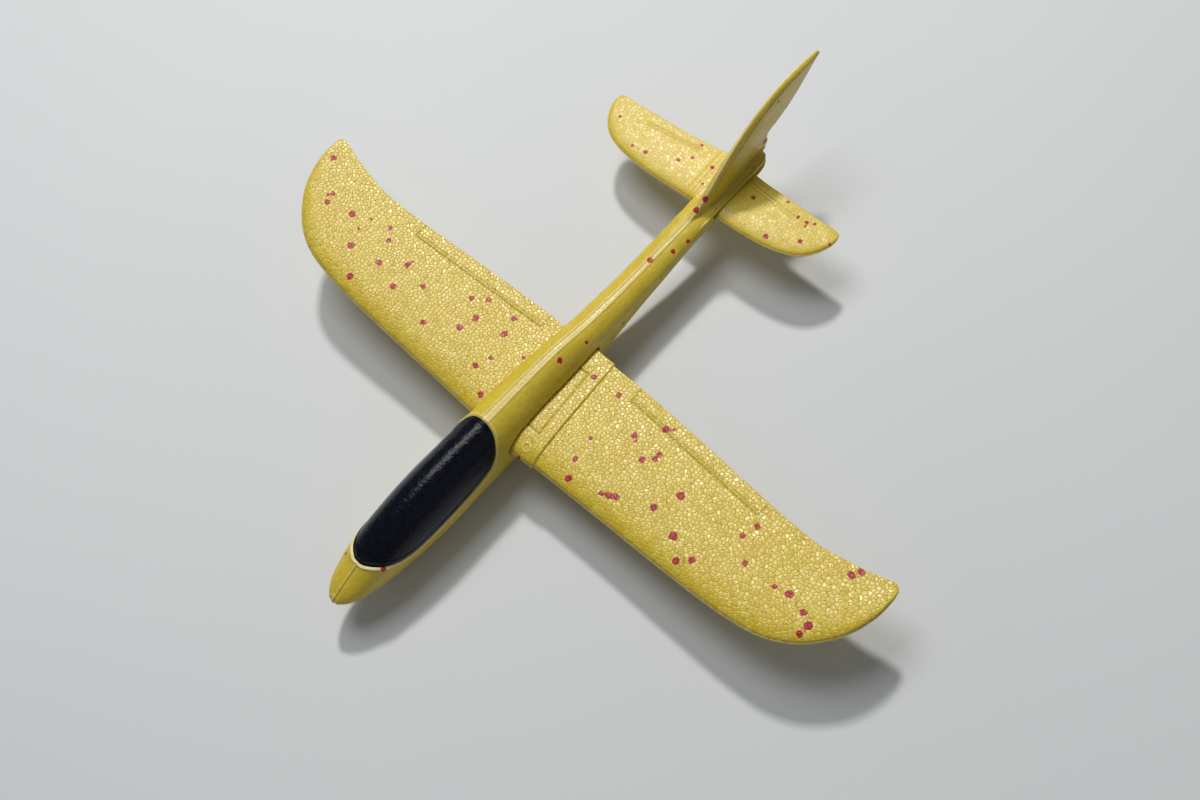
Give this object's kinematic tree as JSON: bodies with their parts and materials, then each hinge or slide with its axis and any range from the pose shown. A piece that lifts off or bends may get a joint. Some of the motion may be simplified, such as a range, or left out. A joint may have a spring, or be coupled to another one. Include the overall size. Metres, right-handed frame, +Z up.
{
  "type": "toy glider",
  "caption": "Hand-launch toy glider in moulded bead foam: slim body with a swept fin, a wing and tailplane that push through slots, and a glossy canopy over the nose.",
  "frame": {"origin": "middle of the flat rest under the belly, on the body's plane of symmetry", "axes": "+Z up, -Y towards the nose, +X towards the pilot's left wing tip"},
  "size_m": [0.4768, 0.4578, 0.0972],
  "materials": {
    "bead_foam": "satin moulded bead foam, yellow with scattered crimson beads",
    "canopy_plastic": "glossy black formed sheet with a fine leathery ripple",
    "steel": "plain turned steel"
  },
  "bodies": {
    "fuselage": {"fuselage": "bead_foam", "canopy": "canopy_plastic", "nose_ballast": "steel"},
    "wing": {"main_wing": "bead_foam"},
    "tail": {"tailplane": "bead_foam"}
  },
  "joints": [
    {"name": "wing_slide", "type": "slide", "parent": "fuselage", "child": "wing", "axis": [0.9996, 0.0192, -0.0192], "range_m": [-0.015, 0.014]},
    {"name": "tail_slide", "type": "slide", "parent": "fuselage", "child": "tail", "axis": [0, 1, 0], "range_m": [0, 0.075]}
  ]
}
